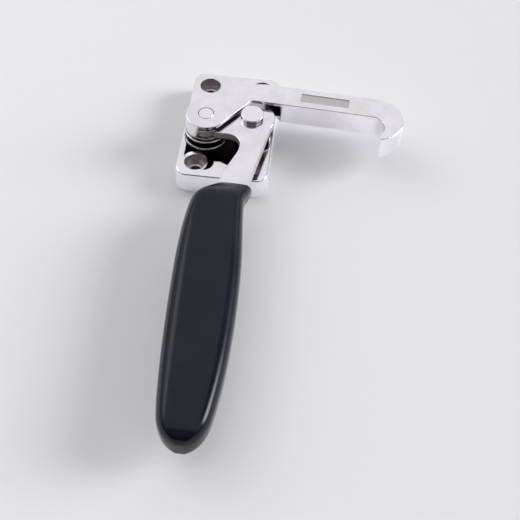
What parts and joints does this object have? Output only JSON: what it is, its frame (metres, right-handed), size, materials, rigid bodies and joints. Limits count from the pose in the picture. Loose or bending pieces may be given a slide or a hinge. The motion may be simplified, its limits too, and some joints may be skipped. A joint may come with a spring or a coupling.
{
  "type": "compression latch",
  "caption": "Front-mounted hook-and-lever door latch: housing with screw holes, swinging lever with a black grip and a sprung hook that pulls on a keeper over the dead centre.",
  "frame": {"origin": "centre of the four mounting screw holes, on the housing's back face", "axes": "+X along the hook towards its tip, +Y away from the grip, +Z out of the door"},
  "size_m": [0.1202, 0.2417, 0.029],
  "materials": {
    "stainless": "bright satin-polished stainless steel",
    "bronze": "plain bearing bronze",
    "spring_steel": "drawn stainless spring wire",
    "grip_plastic": "smooth black plastic, satin sheen"
  },
  "bodies": {
    "base": {"base_housing": "stainless", "pivot_bolt": "stainless", "pivot_upper_washer": "stainless", "pivot_bush": "bronze", "pivot_lower_washer": "stainless", "pivot_lock_washer": "spring_steel", "pivot_nut": "stainless"},
    "lever": {"lever_plate": "stainless", "grip": "grip_plastic", "ear_bush": "bronze"},
    "hook": {"hook_arm": "stainless", "hook_pin": "stainless", "spring_bush": "stainless", "hook_pin_washer": "stainless", "hook_pin_clip": "spring_steel", "torsion_spring": "spring_steel"}
  },
  "joints": [
    {"name": "lever_swing", "type": "hinge", "parent": "base", "child": "lever", "pos_m": [0.0127, -0.0028, 0.02095], "axis": [0, 0, 1], "range_deg": [-12, 60]},
    {"name": "hook_swing", "type": "hinge", "parent": "lever", "child": "hook", "pos_m": [-0.01206, -0.00694, 0.02095], "axis": [0, 0, 1], "range_deg": [0, 45], "stiffness_Nm_per_rad": 0.15, "springref_deg": -20.05, "deforming": ["torsion_spring"]}
  ]
}
